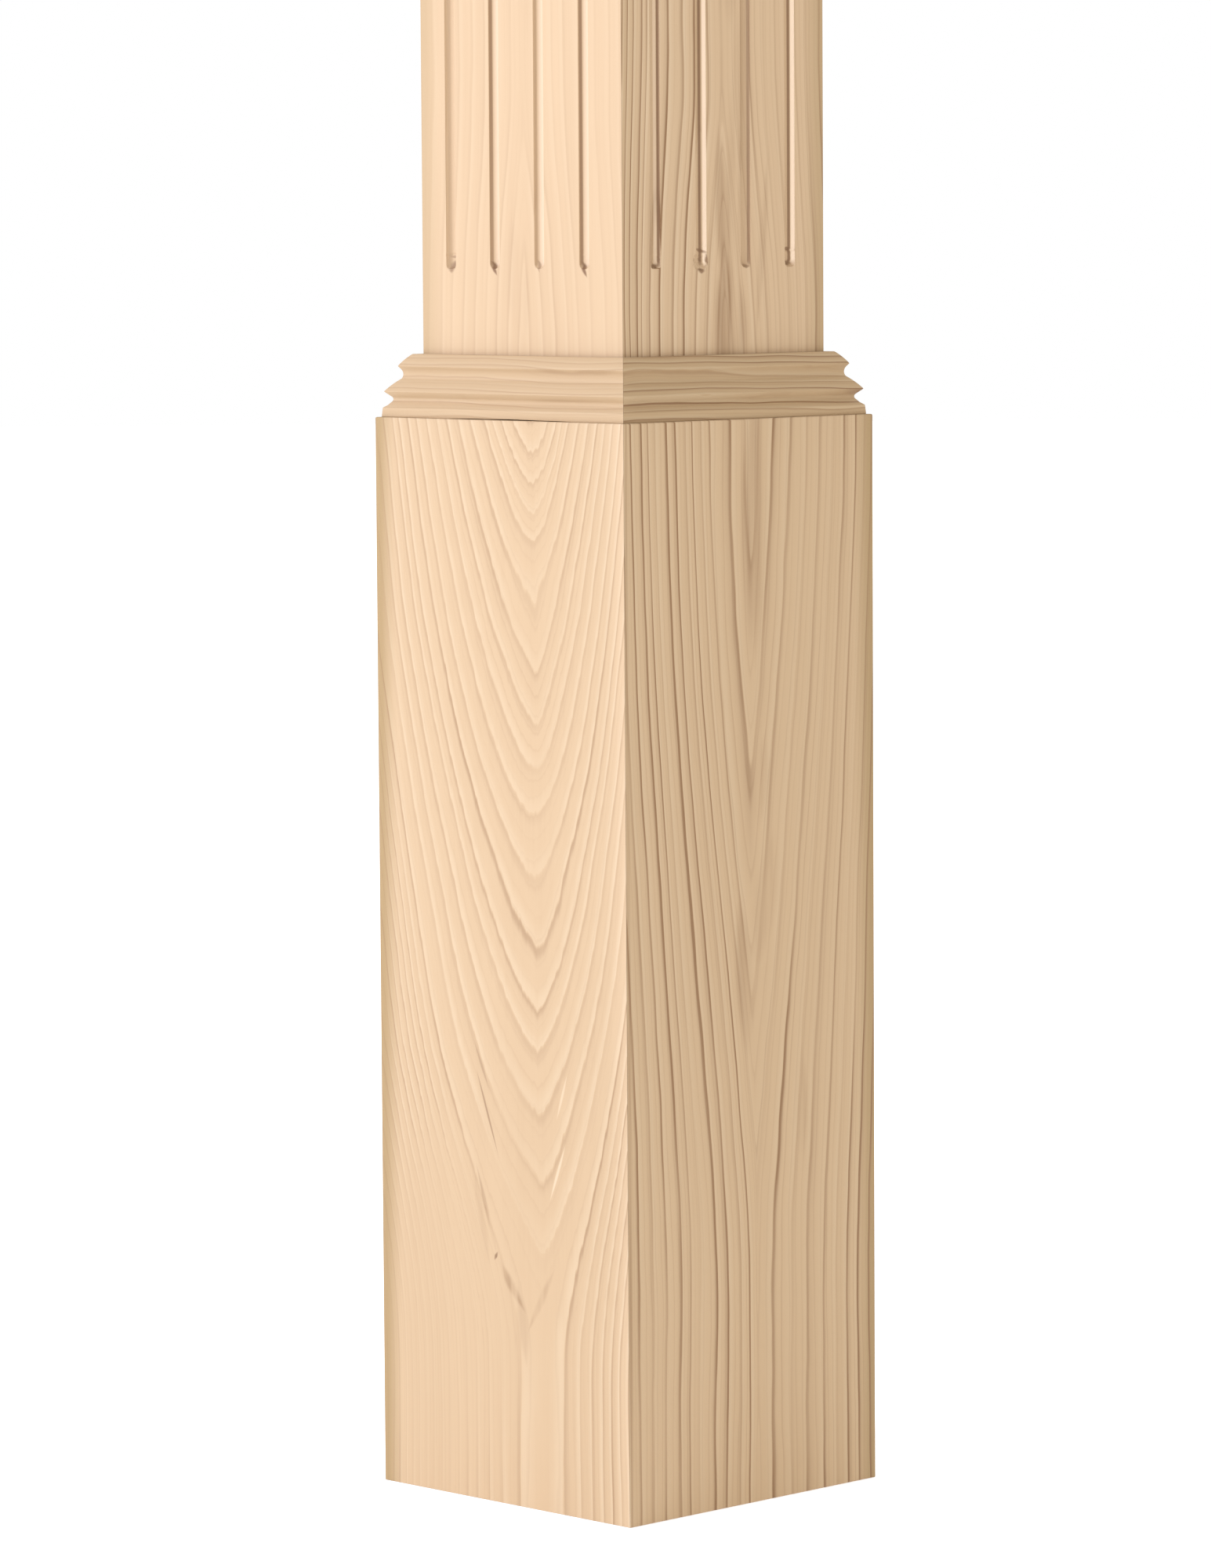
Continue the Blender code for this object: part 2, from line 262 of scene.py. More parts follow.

# How each board was cut from its log, in millimetres. A board with flanks has its growth rings at
# the "left" and "right" places, each list going from the board's edge to the middle, and "match" is
# how many rings of the left flank lie outside the first on the right. "pull" is a height, how far
# both flanks lie nearer the middle there, a lower height, and how far they do there.
# A board with arches has one ring to each height in "tips", where its arch has its point, on a
# middle line at "centre" that leans by "lean". "spread" is how fast each flank rises near its tip
# and farther out, and "steepen" a height, the share of that rise there, a higher one, and the share.
# "shades" is how dark each ring is, "line" and "cream" the strength of the dark lines and of the
# pale stripes beside them, "waves" how wavy they are, wide, middling and fine, "edges" how far the
# left and right edges have darkened, "tone" how far the whole board has, and "faint" places where
# the figure is weak. Each flame, mark or faint place is (across, up, half width, half height, lean
# in degrees, strength), and each stripe along a flute is (across, half width, strength): painted
# shade on the flute's shaded wall, or painted highlight on its lit wall where the strength is below
# zero. Marks are pale where the strength is below zero. The base's marks are marks in the wood; the
# shaft's are painted shade in and round the flutes' lower ends.
GRAIN = {
    "base_board_front": {
        "seed": 1.0, "centre": 25.0, "lean": -0.005,
        "tips": (
            *range(-200, 80, 15), 88, 122, 150, 177, 207, 226, 254, 279, 306, 331, 355, 379, 404, 428,
            440, 452, 466, 479, 492, 505, 520, 540,
        ),
        "spread": ((1.6, 25.0), (1.4, 20.0)),
        "steepen": ((200, 0.62, 482, 0.85), (100, 0.90, 482, 1.7)),
        "line": 0.60, "cream": 0.68, "waves": (0.18, 0.10, 0.04), "edges": (0.9, -0.15), "tone": 0.22,
        "faint": (
            (-40, 70, 62, 130, 0, 0.8), (2, 125, 42, 95, 0, 0.75), (24, 410, 26, 90, 0, 0.45),
            (26, 300, 16, 70, 0, 0.45),
        ),
        "flames": (
            (-14, 128, 2.5, 30, 14, 0.16), (-10, 130, 1.6, 24, 18, 0.50), (4, 100, 3.0, 17, 39, 0.50),
            (24, 94, 2.5, 18, -30, 0.35), (12, 82, 4, 20, 8, 0.20),
        ),
        "marks": (
            (-9.5, 175, 0.8, 22, 20, 0.6), (-13, 196, 0.9, 12, 24, 0.3),
            (-4.6, 111, 2.6, 1.0, 60, 0.8), (35, 152, 1.1, 15, -21, -0.8),
            (38, 186, 1.0, 12, -18, -0.6),
        ),
    },
    "base_board_right": {
        "seed": 21.0,
        "left": (
            -101, -95, -89, -83.3, -77.5, -72, -65.5, -61.5, -57.5, -50, -45, -39, -35, -29.7, -24.5,
            -12, -3, 6, 15,
        ),
        "right": (96, 91, 86, 81, 76, 71, 65, 57, 50, 41, 32.6, 22, 11, 2, -7, -16),
        "match": 3, "pull": (500, -1.0, 80, 19.0),
        "shades": (
            0.7, 0.4, 0.9, 0.5, 0.9, 1.1, 0.9, 0.2, 1.1, 1.0, 0.3, 1.0, 0.25, 0.6, 0.9,
            0.35, 0.3, 0.35, 0.3,
        ),
        "line": 1.28, "cream": 0.45, "waves": (0.2, 0.14, 0.05), "edges": (0.1, 0.75), "tone": 0.19,
        "faint": (
            (48, 330, 50, 240, 0, 0.6), (4, 200, 16, 130, 0, 0.65), (30, 80, 34, 100, 0, 0.55),
            (-50, 70, 40, 110, 0, 0.35), (2, 390, 9, 120, 0, 0.6),
            (-40, 160, 14, 70, 3, 0.5), (-58, 60, 12, 70, 0, 0.4),
        ),
        "flames": (
            (-77.6, 240, 1.6, 420, 0, 0.6), (2.5, 440, 9, 75, 0, 0.32), (-3, 420, 4, 60, 2, 0.22),
            (6, 322, 6, 24, -6, 0.28), (8, 270, 9, 34, -10, 0.26), (-6, 236, 7, 40, 4, 0.34),
            (31, 175, 5, 30, 0, 0.24),
        ),
    },
    "base_board_back": {
        "seed": 41.0, "centre": -14.0, "lean": 0.02, "tips": tuple(range(-240, 600, 19)),
        "spread": ((1.5, 22.0), (1.6, 24.0)), "steepen": ((100, 1.0, 400, 0.8), (100, 1.0, 400, 0.8)),
        "line": 0.45, "cream": 0.5, "waves": (0.6, 0.35, 0.10), "edges": (0.4, 0.4),
    },
    "base_board_left": {
        "seed": 61.0, "left": tuple(range(-100, 200, 6)), "right": (300, 290), "match": 200,
        "pull": (500, -2.0, 0, 6.0), "line": 0.5, "cream": 0.5, "waves": (0.9, 0.35, 0.10),
        "edges": (0.4, 0.4),
    },
    "shaft_board_front": {
        "seed": 81.0,
        "left": (-87, -79, -71, -63, -56, -47, -40, -32, -24, -16, -8.5, -1, 6, 13),
        "right": (84, 77, 69, 63, 57, 48, 38, 29, 22, 13, 4.5, -4, -12),
        "match": 1, "pull": (640, 2.0, 500, -5.0),
        "shades": (0.5, 0.5, 0.4, 0.3, 0.5, 0.6, 0.5, 0.8, 0.3, 0.9, 1.0, 0.7, 0.4, 0.4),
        "line": 0.26, "cream": 0.22, "waves": (0.35, 0.20, 0.06), "edges": (0.45, 0.0), "tone": 0.10,
        "faint": ((0, 640, 12, 120, 0, 0.7), (45, 700, 22, 300, 0, 0.4)),
        "flames": ((4, 700, 12, 60, 0, 0.05), (-4, 545, 9, 30, 4, 0.09), (3, 535, 3, 18, 0, 0.1)),
        # Painted shade along the flutes' shaded walls, and painted highlight along their lit walls
        "painted_flute_shading": (
            (-46.6, 0.9, 0.25), (-16.9, 2.2, -0.35), (11.3, 2.2, -0.4), (39.5, 2.2, -0.35),
            (-19.1, 0.65, 0.75), (9.1, 0.5, 0.3), (37.3, 0.65, 0.75),
        ),
        # Painted shade in and round the flutes' lower ends, where their lips and hollows are shaded
        "marks": (
            (-44.4, 549.6, 3.0, 3.2, 0, 0.7), (-44.4, 554.0, 2.8, 0.8, 0, 0.5),
            (-17.2, 549.0, 1.4, 4.2, 34, 1.0), (10.6, 550.0, 0.8, 3.5, 25, 0.5),
            (39.4, 548.6, 1.4, 4.4, 32, 1.0),
        ),
    },
    "shaft_board_right": {
        "seed": 101.0,
        "left": (-78, -72, -67, -63, -60, -56.4, -51, -48.4, -42, -35, -26, -19, -11, -3, 5, 13),
        "right": (86, 78, 70, 62, 54, 47, 41, 35, 27.7, 19, 10, 2, -6, -14),
        "match": 2, "pull": (640, 2.0, 500, -6.0),
        "shades": (0.9, 1.0, 0.8, 1.0, 1.0, 1.0, 0.7, 0.6, 0.9, 0.7, 0.9, 0.5, 0.4, 0.4, 0.4, 0.4),
        "line": 1.35, "cream": 0.6, "waves": (0.3, 0.18, 0.06), "edges": (0.25, 0.6),
        "faint": ((38, 700, 44, 420, 0, 0.8), (2, 610, 16, 180, 0, 0.65)),
        "flames": (
            (2, 523, 14, 34, 0, 0.6), (8, 600, 7, 95, -4, 0.4), (-2, 575, 6, 40, 3, 0.5),
            (4, 705, 12, 55, 0, 0.45), (-22, 715, 4, 60, 2, 0.4), (24, 560, 3, 50, -6, 0.35),
        ),
        # Painted shade along the flutes' shaded walls, and painted highlight along their lit walls
        "painted_flute_shading": (
            (-41.5, 0.9, -0.45), (-40.4, 0.55, 0.9), (-13.6, 0.9, 0.85), (-12.0, 0.8, -1.0),
            (11.5, 0.6, 0.3), (16.0, 0.55, 0.65), (42.9, 0.9, 0.8), (44.2, 0.8, -1.0),
        ),
        # Painted shade in and round the flutes' lower ends, where their lips and hollows are shaded
        "marks": (
            (-42.6, 549.8, 3.2, 1.3, 12, 0.8), (-13.6, 556.4, 3.2, 1.0, -20, 0.75),
            (-14.6, 547.6, 2.4, 1.5, 0, 0.85), (-18.2, 552.2, 0.8, 1.3, 0, 0.6),
            (-11.2, 552.6, 0.8, 3.2, 10, 0.7), (13.8, 549.4, 2.6, 1.2, 0, 0.55),
            (41.8, 556.8, 2.4, 1.1, 0, 0.8), (41.2, 550.4, 3.0, 1.3, 4, 0.75),
        ),
    },
    "shaft_board_back": {
        "seed": 121.0, "left": tuple(range(-90, 30, 6)), "right": tuple(range(88, -30, -7)), "match": 1,
        "pull": (1200, 12.0, 500, -8.0), "line": 0.42, "cream": 0.5, "waves": (0.9, 0.35, 0.10),
        "edges": (0.3, 0.3),
    },
    "shaft_board_left": {
        "seed": 141.0, "left": tuple(range(-90, 200, 6)), "right": (300, 290), "match": 200,
        "pull": (1200, 6.0, 500, -2.0), "line": 0.42, "cream": 0.5, "waves": (0.9, 0.35, 0.10),
        "edges": (0.3, 0.3),
    },
}


def a_number(name, description, default, unit="NONE"):
    """A property that holds a number, in this unit."""
    return bpy.props.FloatProperty(name=name, description=description, default=default, unit=unit)


def a_length(name, description, default):
    """A property that holds a length in metres."""
    return a_number(name, description, default, "LENGTH")


def an_angle(name, description, degrees):
    """A property that holds an angle."""
    return a_number(name, description, math.radians(degrees), "ROTATION")


def a_colour(name, description, default):
    """A property that holds a colour."""
    return bpy.props.FloatVectorProperty(
        name=name, description=description, default=default, subtype="COLOR"
    )


class NewelSizes(bpy.types.PropertyGroup):
    """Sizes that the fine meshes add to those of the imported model."""

    flute_width: a_length("Flute width", "Width of a flute at the face", 0.0062)
    flute_depth: a_length("Flute depth", "Depth of a flute at its middle", 0.0024)
    flute_edge: a_length("Flute margin", "From a board's edge to the middle of its outer flute", 0.0212)
    flute_stop: a_length("Flute stop", "From a moulding to the end of a flute", 0.038)
    lip_ease: a_length("Lip easing", "Softness of a flute's lips", 0.00012)
    arris_ease: a_length("Arris easing", "Radius of the sanded corners of the post", 0.0005)
    top_ease: a_length("Top easing", "Radius of the base's upper edge", 0.0006)
    moulding_ease: a_length("Moulding easing", "Softness of a moulding's edges", 0.00022)
    mitre_gap: a_length("Mitre gap", "Width of a glue line between two boards", 0.00008)
    joint_opening: a_length("Joint opening", "Height of the open joint under the front collar", 0.00035)


class NewelColours(bpy.types.PropertyGroup):
    """Colours of the wood."""

    cream: a_colour("Cream", "The palest early wood, beside each dark line", (0.610, 0.460, 0.295))
    pale: a_colour("Pale wood", "Early wood", (0.545, 0.382, 0.227))
    warm: a_colour("Warm wood", "Early wood of a warmer, duller tone", (0.510, 0.352, 0.206))
    ring: a_colour("Ring", "Late wood, the darker line of each ring", (0.250, 0.140, 0.065))
    # Painted highlight: this colour is laid along the lit walls of the flutes, where light falls on
    # them
    cut: a_colour("Fresh cut", "The bright lips of the flutes", (0.820, 0.640, 0.450))
    margin: a_colour("Margin", "Wood near a board's edges, duller and yellower", (0.350, 0.232, 0.108))
    # Also painted shade: besides real marks in the wood, this colour is laid on the flutes' shaded
    # walls and round their lower ends
    mark: a_colour("Mark", "Pitch, knots and burnt fibres", (0.20, 0.11, 0.055))


class NewelStage(bpy.types.PropertyGroup):
    """Camera, floor and light."""

    lens: a_number("Lens", "Focal length in mm", 149.28)
    distance: a_length("Distance", "From the post's axis to the camera", 2.9161)
    aside: a_length("Aside", "How far right of the corner's line", 0.00587)
    height: a_length("Height", "Camera height", 0.57935)
    heading: an_angle("Heading", "Turn of the view about the vertical", 45.2977)
    dip: an_angle("Dip", "How far the view looks down", 5.1439)
    roll: an_angle("Roll", "Tilt of the view", 0.3636)
    floor_radius: a_length("Floor radius", "Radius of the round floor", 14.0)
    floor_colour: a_colour("Floor colour", "Colour of the paper floor", (0.985, 0.985, 0.985))
    floor_glow: a_number("Floor glow", "Light that comes up through the floor from below", 0.30)
    sky: a_number("Sky", "Brightness of the surroundings", 1.0)
    lamp_colour: a_colour("Lamp colour", "Colour of both lamps", (0.68, 0.75, 1.0))
    lamp_distance: a_length("Lamp distance", "From the post to both lamps", 3.2)
    key_power: a_number("Key power", "Power of the key lamp, from the left, in watts", 80.0)
    key_size: a_length("Key size", "Width of the key", 1.6)
    key_turn: an_angle("Key turn", "Direction of the key round the post, from the front", -38)
    key_rise: an_angle("Key rise", "Height of the key over the level", 28)
    graze_power: a_number("Graze power", "Power of the lamp that grazes the right side, in watts", 30.0)
    graze_size: a_length("Graze size", "Width of the grazing lamp", 0.9)
    graze_turn: an_angle("Graze turn", "Direction of that lamp round the post, from the front", 16)
    graze_rise: an_angle("Graze rise", "Height of that lamp over the level", 20)


def mitre_setback(sizes):
    """How far a board's end stays inside the mitre's middle line, measured across the board."""
    return sizes.mitre_gap / math.sqrt(2)


def finish_piece(bm, name, side, nodes, material):
    """Turn a front piece to its side, make it an object that rides on the post, and dress it."""
    bmesh.ops.recalc_face_normals(bm, faces=bm.faces)
    bmesh.ops.rotate(
        bm, verts=bm.verts, cent=(0, 0, 0), matrix=Matrix.Rotation(math.radians(SIDES[side]), 3, "Z")
    )
    mesh = bpy.data.meshes.new(name)
    bm.to_mesh(mesh)
    bm.free()
    mesh.shade_smooth()
    mesh.set_sharp_from_angle(angle=SHARP_ANGLE)
    mesh.materials.append(material)
    piece = bpy.data.objects.new(name, mesh)
    bpy.context.scene.collection.objects.link(piece)
    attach(piece, "root")
    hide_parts(*nodes)


def board_columns(half, radius, middle=()):
    """Columns across a board, as (place, depth): eased arrises, and level places between them."""
    left = []
    for step in range(EASE_STEPS + 1):
        angle = math.radians(45) * (1 - step / EASE_STEPS)
        left.append((-half + radius - radius * math.sin(angle), radius - radius * math.cos(angle)))
    level = [(x, 0.0) for x in middle]
    return left + level + [(-x, depth) for x, depth in reversed(left)]


def board_bmesh(half, thickness, columns, rows, setback, relief):
    """Make a mitred front board from a sheet of columns and rows, closed at the back.

    The columns are (place across, depth), the rows (height, depth), and relief gives the depth of
    what is cut into the face at one point, and the point where the sheet holds it.
    """
    bm = bmesh.new()
    across, up = len(columns) - 1, len(rows) - 1
    bmesh.ops.create_grid(bm, x_segments=across, y_segments=up, size=1.0)
    for vert in bm.verts:
        x, column_depth = columns[round((vert.co.x + 1) / 2 * across)]
        z, row_depth = rows[round((vert.co.y + 1) / 2 * up)]
        x, z, cut = relief(x, z)
        shrink = (half - row_depth - setback) / half
        vert.co = (x * shrink, column_depth + row_depth + cut - half, z)
    rim = [edge for edge in bm.edges if edge.is_boundary]
    walls = bmesh.ops.extrude_edge_only(bm, edges=rim)["geom"]
    back = {item for item in walls if isinstance(item, bmesh.types.BMVert)}
    for vert in back:
        if abs(vert.co.x) > half - thickness:
            vert.co.x -= math.copysign(thickness - (vert.co.y + half), vert.co.x)
        vert.co.y = thickness - half
    back_rim = [edge for edge in bm.edges if edge.is_boundary]
    bmesh.ops.edgeloop_fill(bm, edges=back_rim)
    return bm


def plain_face(x, z):
    """No relief: a planed face."""
    return x, z, 0.0


def stretch(start, end, bow):
    """Points from one outline point to the next, the first left out, along a straight or an arc."""
    if bow == 0.0:
        return [end]
    run = math.dist(start, end)
    radius = (run * run / 4 + bow * bow) / (2 * abs(bow))
    half_turn = math.asin(min(1.0, run / (2 * radius)))
    along = ((end[0] - start[0]) / run, (end[1] - start[1]) / run)
    across = (-along[1], along[0])
    side = math.copysign(1.0, bow)
    points = []
    for step in range(1, ARC_STEPS + 1):
        angle = half_turn * (2 * step / ARC_STEPS - 1)
        forward = run / 2 + radius * math.sin(angle)
        aside = side * (radius * math.cos(angle) - radius * math.cos(half_turn))
        points.append((
            start[0] + along[0] * forward + across[0] * aside,
            start[1] + along[1] * forward + across[1] * aside,
        ))
    return points


def outline_points(outline, back, reach, height):
    """Work out an outline in metres, as (out from the shaft, up from the moulding's bottom)."""
    corners = [(out * reach, (1 - down) * height) for out, down, _ in outline]
    points = [(back, height), corners[0]]
    for start, end, shape in zip(corners, corners[1:], outline[1:]):
        points += stretch(start, end, shape[2] * height)
    points.append((back, 0.0))
    return points


def closed_joint(x):
    """No opening: the moulding sits tight."""
    return 0.0


def moulding_bmesh(outline, low, high, sizes, open_joint):
    """Make a mitred front moulding between two corners of its node.

    The open joint gives how far the moulding's outer foot stands off what is under it.
    """
    reach = -low.y - SHAFT_HALF
    back = -high.y - SHAFT_HALF
    height = high.z - low.z
    bm = bmesh.new()
    section = [bm.verts.new((0, out, up)) for out, up in outline_points(outline, back, reach, height)]
    rim = [bm.edges.new(pair) for pair in zip(section, section[1:] + section[:1])]
    end_face = bmesh.ops.edgeloop_fill(bm, edges=rim)["faces"]
    swept = bmesh.ops.extrude_face_region(bm, geom=end_face, use_keep_orig=True)["geom"]
    far_end = [item for item in swept if isinstance(item, bmesh.types.BMVert)]
    bmesh.ops.translate(bm, verts=far_end, vec=(1, 0, 0))
    bmesh.ops.recalc_face_normals(bm, faces=bm.faces)
    corners = [edge for edge in bm.edges if edge.verts[0].co.x != edge.verts[1].co.x
               and edge.calc_face_angle() > CORNER_ANGLE
               and max(vert.co.y for vert in edge.verts) > back + sizes.moulding_ease]
    bmesh.ops.bevel(bm, geom=corners, offset=sizes.moulding_ease, segments=2, profile=0.5,
                    affect="EDGES", material=-1)
    long_edges = [edge for edge in bm.edges if edge.verts[0].co.x != edge.verts[1].co.x]
    bmesh.ops.subdivide_edges(bm, edges=long_edges, cuts=MOULDING_STATIONS, use_grid_fill=True)
    for vert in bm.verts:
        out, up = vert.co.y, vert.co.z
        x = (2 * vert.co.x - 1) * (SHAFT_HALF + out - mitre_setback(sizes))
        foot = max(0.0, 1 - up / FOOT_HEIGHT) * max(0.0, (out - back) / (reach - back))
        vert.co = (x, -SHAFT_HALF - out, low.z + up + foot * open_joint(x))
    return bm


def flute_radius(sizes):
    """Radius of the ball-nosed cutter that leaves a flute of this width and depth."""
    half_width = sizes.flute_width / 2
    return (half_width ** 2 + sizes.flute_depth ** 2) / (2 * sizes.flute_depth)


@dataclass
class Flute:
    """One stopped flute: its middle line, and how the cutter left its lower end."""

    centre: float
    square: float = 2.0
    pocket: float = 0.0
    pocket_aside: float = 0.0
    tear: float = 0.0
    bars: tuple = ()


def flutes_of(sizes, side):
    """The four flutes of one side."""
    ends = FLUTE_ENDS[side]
    pitch = (2 * SHAFT_HALF - 2 * sizes.flute_edge) / (len(ends) - 1)
    first = FLUTE_SHIFT[side] - SHAFT_HALF + sizes.flute_edge
    return [Flute(first + number * pitch, **end) for number, end in enumerate(ends)]


def flute_span(sizes):
    """Heights between which a flute has its full section."""
    half_width = sizes.flute_width / 2
    low = COLLAR_HIGH.z + sizes.flute_stop + half_width
    high = COVE_LOW.z - sizes.flute_stop - half_width
    return low, high


def flute_cut(sizes, flute, low, high, x, z):
    """Depth of one flute at a point of the face, with the point moved onto the lip if it is near."""
    radius = flute_radius(sizes)
    half_width = sizes.flute_width / 2
    floor = radius - sizes.flute_depth
    aside = x - flute.centre
    past = max(low - z, z - high, 0.0)
    square = flute.square if z < low else 2.0
    reach = (abs(aside) ** square + past ** square) ** (1 / square)
    if past > 0.0 and abs(reach - half_width) < END_ROW / 2:
        pull = half_width / reach
        x = flute.centre + aside * pull
        z = low - past * pull if z < low else high + past * pull
        reach = half_width
    depth = math.sqrt(max(radius ** 2 - reach ** 2, 0.0)) - floor
    if reach > radius:
        depth = -floor - (reach - radius)
    if flute.pocket and z < low + flute.pocket:
        from_plunge = math.hypot(x - flute.centre - flute.pocket_aside, z - low)
        bite = math.sqrt(max(flute.pocket ** 2 - from_plunge ** 2, 0.0)) * POCKET_FLATNESS
        depth = max(depth, bite if from_plunge < flute.pocket else depth)
    near_end = max(0.0, 1 - abs(z - low) / TORN_LENGTH)
    if depth > -TORN_REACH and near_end > 0.0:
        grain = noise.noise(Vector((x * TORN_SCALE, z * TORN_SCALE, flute.centre)))
        depth += flute.tear * near_end * grain
        for height, bite in flute.bars:
            gap = (z - low + half_width - height) / BAR_WIDTH
            depth += bite * math.exp(-gap * gap) if depth > 0.0 else 0.0
    return x, z, depth


def fluted_face(sizes, side):
    """Give the relief of one side's flutes as a function of the place on its face."""
    flutes = flutes_of(sizes, side)
    low, high = flute_span(sizes)
    clear = sizes.flute_width

    def relief(x, z):
        """Cut the nearest flute into the face, its lips eased."""
        flute = min(flutes, key=lambda item: abs(x - item.centre))
        if abs(x - flute.centre) > clear or not low - clear <= z <= high + clear:
            return x, z, 0.0
        x, z, depth = flute_cut(sizes, flute, low, high, x, z)
        eased = 0.5 * (depth + math.hypot(depth, sizes.lip_ease))
        return x, z, eased if depth > -LIP_REACH * sizes.lip_ease else 0.0

    return relief


def shaft_columns(sizes, side):
    """Columns of a fluted face: round each hollow at even angles, and close outside its lips."""
    radius = flute_radius(sizes)
    half_width = sizes.flute_width / 2
    half_angle = math.asin(half_width / radius)
    turns = [half_angle * (2 * step / FLUTE_STEPS - 1) for step in range(FLUTE_STEPS + 1)]
    inner = [radius * math.sin(turn) for turn in turns]
    outer = [half_width + reach for reach in LIP_COLUMNS]
    offsets = [-reach for reach in reversed(outer)] + inner + outer
    middle = [flute.centre + offset for flute in flutes_of(sizes, side) for offset in offsets]
    return board_columns(SHAFT_HALF, sizes.arris_ease, middle)


def spaced(low, high, step):
    """Values from low to high at about the given step, both ends included."""
    count = max(1, round((high - low) / step))
    return [low + (high - low) * number / count for number in range(count + 1)]


def shaft_rows(sizes):
    """Rows of a fluted face: fine round the flutes' ends and coarse between them."""
    half_width = sizes.flute_width / 2
    low, high = flute_span(sizes)
    stops = (
        SHAFT_LOW.z, low - CLOSE_BELOW * half_width, low + TORN_LENGTH, high - END_ROW,
        high + CLOSE_ABOVE * half_width, SHAFT_HIGH.z,
    )
    heights = []
    for number, (start, end) in enumerate(zip(stops, stops[1:])):
        heights[-1:] = spaced(start, end, END_ROW if number % 2 else SHANK_ROW)
    return [(height, 0.0) for height in heights]


class Signal:
    """A number that varies through the wood: one shader node's output."""

    def __init__(self, socket):
        self.socket = socket

    def combine(self, operation, *others):
        """Pass this number and others through a Math node."""
        node = self.socket.id_data.nodes.new("ShaderNodeMath")
        node.operation = operation
        for place, value in zip(node.inputs, (self, *others)):
            plug(place, value)
        return Signal(node.outputs[0])

    def __add__(self, other):
        return self.combine("ADD", other)

    def __sub__(self, other):
        return self.combine("SUBTRACT", other)

    def __mul__(self, other):
        return self.combine("MULTIPLY", other)

    def __truediv__(self, other):
        return self.combine("DIVIDE", other)

    def ramp(self, start, end, low=0.0, high=1.0, kind="LINEAR"):
        """Go evenly from low to high as this number goes from start to end."""
        node = self.socket.id_data.nodes.new("ShaderNodeMapRange")
        node.interpolation_type = kind
        names = ("Value", "From Min", "From Max", "To Min", "To Max")
        for name, value in zip(names, (self, start, end, low, high)):
            plug(node.inputs[name], value)
        return Signal(node.outputs["Result"])

    def fade(self, start, end, low=0.0, high=1.0):
        """Go smoothly from low to high as this number goes from start to end."""
        return self.ramp(start, end, low, high, "SMOOTHSTEP")


def plug(place, value):
    """Feed a socket with a signal or with a plain value."""
    if isinstance(value, Signal):
        place.id_data.links.new(value.socket, place)
    else:
        place.default_value = value


def metres(lengths):
    """Give lengths in millimetres in metres."""
    return [length / 1000 for length in lengths]


class Timber:
    """The nodes of one piece's wood, read across the grain, into the wood and along the grain."""

    def __init__(self, name, side, lying, seed):
        self.material = bpy.data.materials.new(name)
        self.material.use_nodes = True
        self.shader = self.material.node_tree.nodes["Principled BSDF"].inputs
        self.seed = seed
        turn = self.node("Mapping")
        plug(turn.inputs["Vector"], Signal(self.node("TexCoord").outputs["Object"]))
        plug(turn.inputs["Rotation"], (0, 0, -math.radians(SIDES[side])))
        split = self.node("SeparateXYZ")
        plug(split.inputs["Vector"], Signal(turn.outputs["Vector"]))
        x, y, z = (Signal(output) for output in split.outputs)
        self.across, self.depth, self.along = (z, y, x) if lying else (x, y, z)

    def node(self, kind):
        """Add a shader node of this kind."""
        return self.material.node_tree.nodes.new(f"ShaderNode{kind}")

    def vector(self, *parts):
        """Join three numbers into a vector."""
        node = self.node("CombineXYZ")
        for place, value in zip(node.inputs, parts):
            plug(place, value)
        return Signal(node.outputs[0])

    def cloud(self, across, along, detail=1.0, number=None):
        """Soft noise between about -1 and 1, with so many features a metre across and along."""
        self.seed += SEED_STEP
        first = self.across * across if number is None else number
        spot = self.vector(first, self.depth * across + self.seed, self.along * along)
        node = self.node("TexNoise")
        plug(node.inputs["Vector"], spot)
        plug(node.inputs["Scale"], 1.0)
        plug(node.inputs["Detail"], detail)
        return (Signal(node.outputs["Fac"]) - 0.5) * 2.0

    def dice(self, number, offset):
        """A random number from 0 to 1 for each whole number."""
        node = self.node("TexWhiteNoise")
        node.noise_dimensions = "1D"
        plug(node.inputs["W"], number + offset)
        return Signal(node.outputs["Value"])

    def mixed(self, share, first, second):
        """Mix two colours, the second by its share."""
        node = self.node("Mix")
        node.data_type = "RGBA"
        for place, value in zip(MIX_SOCKETS, (share, first, second)):
            plug(node.inputs[place], value if isinstance(value, Signal) else (*value, 1.0))
        return Signal(node.outputs[MIX_RESULT])

    def follow(self, value, points):
        """Follow the straight stretches between points of (value, result), none being negative."""
        node = self.node("FloatCurve")
        first, last = points[0][0], points[-1][0]
        top = max(result for _, result in points)
        curve = node.mapping.curves[0]
        for spot, result in points[1:-1]:
            curve.points.new((spot - first) / (last - first), result / top)
        curve.points[0].location = (0.0, points[0][1] / top)
        curve.points[-1].location = (1.0, points[-1][1] / top)
        for point in curve.points:
            point.handle_type = "VECTOR"
        node.mapping.update()
        plug(node.inputs["Value"], (value - first) / (last - first))
        return Signal(node.outputs["Value"]) * top

    def count(self, place, places):
        """Count the ascending places below a place, with the share of the step to the next."""
        return self.follow(place, [(spot, number) for number, spot in enumerate(places)])

    def lens(self, place):
        """A soft leaning lens with pointed ends, 1 in its middle and 0 outside."""
        across, up, half_width, half_height = metres(place[:4])
        aside = self.across - across
        above = self.along - up
        turn = math.radians(place[4])
        long_share = (above * math.cos(turn) - aside * math.sin(turn)) / half_height
        short_share = (aside * math.cos(turn) + above * math.sin(turn)) / half_width
        return (long_share * long_share + short_share.combine("ABSOLUTE")).fade(*LENS_ENDS)


